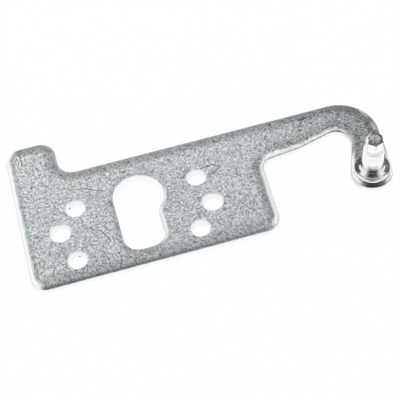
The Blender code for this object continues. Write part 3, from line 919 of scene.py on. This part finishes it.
def plated_face(tree, place, kept, grain, scratch, nicked, hair):
    """Colour of the plating's grain with its clouds, its yellowish bloom and its marks."""
    colour = blend(tree, grain.outputs["Shade"], ZINC_DARK, ZINC_LIGHT)
    colour = tint(tree, stretch(tree, grain.outputs["Cloud"], 0.35, 0.7), colour, ZINC_CLOUD)
    bloom = times(tree, stretch(tree, mottle(tree, place, 55.0, 2.0, 0.6, 0.6), 0.46, 0.62),
                  stretch(tree, kept.from_edge, 9.0, 3.0, 0.15, 1.0))
    colour = tint(tree, bloom, colour, ZINC_BLOOM)
    for mask, strength, mark in ((hair, 0.40, HAIRLINE_COLOUR), (scratch, 0.85, SCRATCH_COLOUR),
                                 (nicked, 0.85, NICK_COLOUR)):
        colour = blend(tree, times(tree, mask, strength), colour, mark)
    return colour


def add_walls(tree, y, facing_x, facing_y, kept, upright, colour):
    """The sheared walls: pale in front and in the holes, with painted shade making them greyer where they
    face back or left and darker in the pear's throat.
    """
    turned_away = times(tree, stretch(tree, facing_y, -0.25, 0.15), outside(tree, kept.sheared))
    colour = blend(tree, upright, colour, blend(tree, turned_away, ZINC_WALL, ZINC_SHADED_SIDE_WALL))
    throat = times(tree, stretch(tree, y, spot(0, 21.0 * MM).y, spot(0, 18.0 * MM).y),
                   stretch(tree, kept.from_pear, 1.0, 0.5))
    left_wall = blend(tree, kept.sheared, ZINC_SHADED_LEFT_WALL, ZINC_WALL)
    left_wall = blend(tree, throat, left_wall, ZINC_SHADED_PEAR_WALL)
    return blend(tree, stretch(tree, facing_x, -0.6, -0.95), colour, left_wall)


def add_wear(tree, nick, place, colour):
    """Light scuffs on the hook's outer edge and dark specks on the walls of two holes."""
    scuffs = [times(tree, use(tree, nick, place=place, start=in_metres(start), end=in_metres(end),
                              width=width * MM).outputs[0], strength)
              for start, end, width, strength in SCUFFS]
    colour = blend(tree, most(tree, *scuffs), colour, SCUFF_COLOUR)
    specks = [stretch(tree, vector_calc(tree, "DISTANCE", place, in_metres(centre)),
                      radius * 1.3 * MM, radius * 0.7 * MM) for centre, radius in SPECKS]
    return blend(tree, most(tree, *specks), colour, SPECK_COLOUR)


def make_zinc(spangle, hairlines, nick):
    """Zinc-plated sheet: grey grain on the face with painted shade towards the rims, a painted highlight
    along the rolled edge, pale on its walls.
    """
    material, tree, shader = start_material("zinc_plated_sheet")
    space = add(tree, "ShaderNodeTexCoord")
    place = space.outputs["Object"]
    x, y, _ = split_up(tree, place)
    facing_x, facing_y, facing_z = split_up(tree, space.outputs["Normal"])
    kept = SimpleNamespace(**{name: add(tree, "ShaderNodeAttribute", attribute_name=name).outputs["Fac"]
                              for name in KEPT})
    at = plate_regions(tree, place, x, y, kept)
    # Painted highlight along the rolled edges, as a mask
    rim = painted_rim_highlight(tree, place, x, y, kept, at)
    cut = stretch(tree, calc(tree, "ABSOLUTE", facing_z), 0.45, 0.12)
    upright = most(tree, cut, kept.sheared)

    grain = use(tree, spangle, place=place, grain=ZINC_GRAIN)
    wandered = wander(tree, place, MARK_WANDER)
    scratch = nicks(tree, nick, wandered, DARK_SCRATCHES)
    nicked = nicks(tree, nick, place, BRIGHT_NICKS)
    hair = most(tree, *[use(tree, hairlines, place=wandered, turn=turn, seed=seed, rarity=rarity).outputs[0]
                        for turn, seed, rarity in HAIRLINES])

    # The face's colour, darkened by painted shade towards its rims and by its tone along the arm and hook
    shaded = add(tree, "ShaderNodeVectorMath", operation="SCALE")
    feed(tree, shaded.inputs[0], plated_face(tree, place, kept, grain, scratch, nicked, hair))
    feed(tree, shaded.inputs["Scale"], plate_shade_and_tone(tree, x, y, kept, at))
    # Painted highlight along the rolled edges
    colour = blend(tree, times(tree, rim, 0.92), shaded.outputs[0], ZINC_RIM_HIGHLIGHT)
    # Walls, with painted shade where they face back or left
    colour = add_walls(tree, y, facing_x, facing_y, kept, upright, colour)
    feed(tree, shader.inputs["Base Color"], add_wear(tree, nick, place, colour))

    rough = linear(tree, grain.outputs["Shade"], -0.10, 0.42)
    rough = linear(tree, rim, -0.18, rough)
    feed(tree, shader.inputs["Roughness"], linear(tree, upright, -0.06, rough))
    # Painted highlight: the holes' rims and the highlight inside the arm turn matt, so they show their pale
    # colour instead of mirroring the dark front
    rolled_rim = times(tree, kept.sheared, outside(tree, cut))
    matt = most(tree, times(tree, rolled_rim, 0.8), times(tree, at.arm_inside, rim, 0.6))
    feed(tree, shader.inputs["Metallic"], outside(tree, matt))

    sunk = most(tree, scratch, times(tree, hair, 0.4))
    height = linear(tree, sunk, -0.6, grain.outputs["Height"])
    height = linear(tree, nicked, 0.4, height)
    height = times(tree, height, stretch(tree, kept.from_edge, 1.0, 2.2, 0.15, 1.0),
                   stretch(tree, kept.from_pear, 0.8, 1.8, 0.15, 1.0),
                   fade(tree, kept.sheared, 1.0, 0.32))
    shear_marks = mottle(tree, turned_space(tree, place, scale=(1400.0, 1400.0, 90.0)), 1.0, 1.0)
    height = linear(tree, shear_marks, times(tree, upright, 0.5), height)
    add_bump(tree, shader, height, ZINC_BUMP)
    return material


def towards(tree, vector, degrees):
    return vector_calc(tree, "DOT_PRODUCT", vector, tuple(heading(degrees)))


def in_direction(tree, place, reach, degrees, soft, full):
    """Where a point lies in one direction from the pin's axis, between two cosines."""
    return stretch(tree, calc(tree, "DIVIDE", towards(tree, place, degrees), reach), soft, full)


def add_painted_end_shade(tree, place, z, normal, flat, reach, colour):
    """The tip's sawn end and chamfer: a painted dark reflection with a mottle, painted lighter towards one
    side, and a painted shade line round it, lighter on the front facets.
    """
    disc = most(tree, stretch(tree, reach, 2.15 * MM, 1.95 * MM),
                stretch(tree, towards(tree, normal, 145.0), 0.24, 0.18))
    end = times(tree, disc, times(tree, flat, stretch(tree, z, TIP - 2.4 * MM, TIP - 1.9 * MM)))
    slope = calc(tree, "DIVIDE", towards(tree, place, 60.0), 3.0 * MM)
    shaded_mottle = linear(tree, slope, 0.25, mottle(tree, place, 1500.0, 2.0, 0.6, 0.5))
    end_shade = blend(tree, stretch(tree, shaded_mottle, 0.30, 0.70), PIN_END_SHADE_DARK, PIN_END_SHADE_LIGHT)
    front = times(tree, stretch(tree, calc(tree, "ABSOLUTE", towards(tree, normal, 351.0)), 0.24, 0.10),
                  stretch(tree, towards(tree, normal, 261.0), 0.2, 0.5))
    shade_line_colour = blend(tree, front, PIN_END_SHADE_LINE, PIN_END_FRONT_SHADE_LINE)
    return blend(tree, end, colour, blend(tree, stretch(tree, reach, 1.7 * MM, 2.05 * MM), end_shade, shade_line_colour))


def add_shade_lines(tree, place, z, flat, reach, colour):
    """Faint painted shade lines along the hexagon's front corners and round the pin at its steps."""
    corners = [in_direction(tree, place, reach, degrees, 0.9960, 0.9990) for degrees in HEX_FRONT_CORNERS]
    shade_lines = times(tree, most(tree, *corners), stretch(tree, z, SHOULDER, SHOULDER + 0.5 * MM))
    for height, strength in PIN_LEVEL_SHADE_LINES:
        away = calc(tree, "ABSOLUTE", calc(tree, "SUBTRACT", z, height))
        shade_lines = most(tree, shade_lines, stretch(tree, away, 0.28 * MM, 0.10 * MM, 0.0, strength))
    shade_lines = times(tree, shade_lines, outside(tree, flat))
    return blend(tree, times(tree, shade_lines, 0.6), colour, PIN_SHADE_LINE)


def painted_foot_shade(tree, place, reach, above):
    """Painted shade and reflections round the pin's foot, as one broken mask."""
    patches = []
    for degrees, soft, full, inner, outer, soft_height, full_height, strength in PIN_FOOT_SHADES:
        patches.append(times(tree, in_direction(tree, place, reach, degrees, soft, full),
                             stretch(tree, reach, (inner - 0.2) * MM, (inner + 0.2) * MM),
                             stretch(tree, reach, (outer + 0.15) * MM, (outer - 0.15) * MM),
                             stretch(tree, above, soft_height * MM, full_height * MM, 0.0, strength)))
    broken = stretch(tree, mottle(tree, place, 700.0, 2.0), 0.3, 0.55, 0.7, 1.0)
    return times(tree, most(tree, *patches), broken)


def make_bright(spangle):
    """The turned pin: brighter and smoother, with fine rings from the tool, a darker end painted as its
    reflection, painted shade round its foot and along its corners, and a painted sheen.
    """
    material, tree, shader = start_material("bright_turned_steel")
    space = add(tree, "ShaderNodeTexCoord")
    normal = space.outputs["Normal"]
    place = turned_space(tree, space.outputs["Object"], location=-spot(PIN_X, PIN_Y))
    x, y, z = split_up(tree, place)
    reach = calc(tree, "SQRT", calc(tree, "ADD", calc(tree, "POWER", x, 2.0), calc(tree, "POWER", y, 2.0)))
    above = calc(tree, "SUBTRACT", z, COLLAR_TOP)
    flat = stretch(tree, split_up(tree, normal)[2], 0.70, 0.76)

    grain = use(tree, spangle, place=place, grain=PIN_GRAIN)
    colour = blend(tree, grain.outputs["Shade"], PIN_DARK, PIN_LIGHT)
    # The end: painted dark reflection and a painted shade line round it
    colour = add_painted_end_shade(tree, place, z, normal, flat, reach, colour)
    # Painted shade lines along the corners and steps
    colour = add_shade_lines(tree, place, z, flat, reach, colour)
    # Painted shade and reflections round the foot
    foot_shade = painted_foot_shade(tree, place, reach, above)
    feed(tree, shader.inputs["Base Color"], blend(tree, foot_shade, colour, PIN_FOOT_SHADE))

    # Painted highlight: the foot's sheen and the shoulder's ledge turn matt, so they show the pin's pale
    # colour instead of mirroring the dark front
    sheen = most(tree, *[in_direction(tree, place, reach, degrees, 0.86, 0.96) for degrees in PIN_SHEEN])
    sheen = times(tree, sheen, outside(tree, foot_shade), stretch(tree, above, 3.2 * MM, 2.2 * MM))
    ledge = times(tree, stretch(tree, z, SHOULDER - 0.3 * MM, SHOULDER - 0.1 * MM),
                  stretch(tree, z, SHOULDER + 1.0 * MM, SHOULDER + 0.8 * MM))
    sheen = most(tree, sheen, ledge)
    feed(tree, shader.inputs["Metallic"], linear(tree, sheen, -0.75, 1.0))
    rough = linear(tree, flat, 0.08, 0.14)
    feed(tree, shader.inputs["Roughness"], linear(tree, sheen, 0.2, rough))

    level = add(tree, "ShaderNodeCombineXYZ")
    feed(tree, level.inputs["Z"], z)
    rings = mottle(tree, level.outputs[0], 2600.0, 2.0)
    add_bump(tree, shader, linear(tree, rings, 0.5, grain.outputs["Height"]), PIN_BUMP)
    return material


def make_floor():
    """A plain white table that keeps the object's shadow."""
    material, tree, shader = start_material("white_floor")
    tree.nodes.remove(shader)
    matt = add(tree, "ShaderNodeBsdfDiffuse")
    matt.inputs["Color"].default_value = FLOOR_COLOUR
    glow = add(tree, "ShaderNodeEmission")
    glow.inputs["Strength"].default_value = 1.0
    path = add(tree, "ShaderNodeLightPath")
    seen = times(tree, path.outputs["Is Camera Ray"], FLOOR_GLOW)
    mirrored = most(tree, path.outputs["Is Glossy Ray"], path.outputs["Is Transmission Ray"])
    mix = add(tree, "ShaderNodeMixShader")
    feed(tree, mix.inputs[0], linear(tree, mirrored, FLOOR_GLOW_IN_METAL, seen))
    feed(tree, mix.inputs[1], matt.outputs[0])
    feed(tree, mix.inputs[2], glow.outputs[0])
    feed(tree, tree.nodes["Material Output"].inputs["Surface"], mix.outputs[0])

    bm = bmesh.new()
    bmesh.ops.create_grid(bm, x_segments=1, y_segments=1, size=FLOOR_HALF_WIDTH)
    bmesh.ops.translate(bm, vec=(0, 0, -FLOOR_DROP), verts=bm.verts)
    floor = as_object(bm, "floor")
    floor.data.materials.append(material)


def make_world():
    """A soft tent: white towards the back, darkest low in front, and plain white to the camera."""
    world = bpy.data.worlds.new("studio")
    bpy.context.scene.world = world
    world.use_nodes = True
    tree = world.node_tree
    way = add(tree, "ShaderNodeTexCoord")
    faced = add(tree, "ShaderNodeVectorRotate", rotation_type="Z_AXIS")
    feed(tree, faced.inputs["Vector"], way.outputs["Generated"])
    faced.inputs["Angle"].default_value = math.radians(VIEW_TURN)
    sideways, back, up = split_up(tree, faced.outputs[0])
    front = times(tree, back, -1.0)
    arch = calc(tree, "DIVIDE", calc(tree, "ARCTAN2", up, front), math.pi)
    ramp = add(tree, "ShaderNodeValToRGB")
    ramp.color_ramp.interpolation = "EASE"
    while len(ramp.color_ramp.elements) < len(ARCH):
        ramp.color_ramp.elements.new(0.5)
    for element, (position, level) in zip(ramp.color_ramp.elements, ARCH):
        element.position = position
        element.color = (level, level, level, 1.0)
    feed(tree, ramp.inputs[0], arch)
    in_front = stretch(tree, front, -0.15, 0.1)
    left = stretch(tree, sideways, -0.34, -0.60)
    right = times(tree, in_front, stretch(tree, sideways, 0.25, 0.42))
    back_right = stretch(tree, sideways, 0.45, 0.8)
    light = blend(tree, back_right, ramp.outputs[0], BACK_RIGHT_LIGHT)
    light = blend(tree, most(tree, left, right), light, SIDE_LIGHT)
    path = add(tree, "ShaderNodeLightPath")
    light = blend(tree, path.outputs["Is Camera Ray"], light, (1.0, 1.0, 1.0, 1.0))
    feed(tree, tree.nodes["Background"].inputs["Color"], light)


def make_camera():
    camera = bpy.data.cameras.new("view")
    camera.lens = VIEW_LENS
    camera.sensor_width = 36.0
    camera.clip_start = 0.01
    camera.clip_end = 20.0
    obj = bpy.data.objects.new("view", camera)
    bpy.context.scene.collection.objects.link(obj)
    turn = math.radians(VIEW_TURN)
    elevation = math.radians(VIEW_ELEVATION)
    forward = Vector((math.sin(turn) * math.cos(elevation), math.cos(turn) * math.cos(elevation),
                      -math.sin(elevation)))
    obj.rotation_mode = "QUATERNION"
    obj.location = VIEW_TARGET - forward * VIEW_DISTANCE
    obj.rotation_quaternion = (forward.to_track_quat("-Z", "Y")
                               @ Quaternion((0, 0, 1), math.radians(VIEW_ROLL)))
    bpy.context.scene.camera = obj


def make_lamp():
    """One large softbox above; the metal sees the world's arch and not the lamp itself."""
    lamp = bpy.data.lights.new("softbox", "AREA")
    lamp.shape = "RECTANGLE"
    lamp.size = LAMP_WIDTH
    lamp.size_y = LAMP_DEPTH
    lamp.energy = LAMP_POWER
    obj = bpy.data.objects.new("softbox", lamp)
    bpy.context.scene.collection.objects.link(obj)
    obj.visible_glossy = False
    obj.location = LAMP_PLACE
    obj.rotation_mode = "QUATERNION"
    obj.rotation_quaternion = (-obj.location).to_track_quat("-Z", "Y")


zinc_spangle = spangle_group()
make_plate(make_zinc(zinc_spangle, hairline_group(), nick_group()))
make_pin(make_bright(zinc_spangle))
make_floor()
make_world()
make_lamp()
make_camera()
bpy.context.scene.view_settings.view_transform = "Standard"
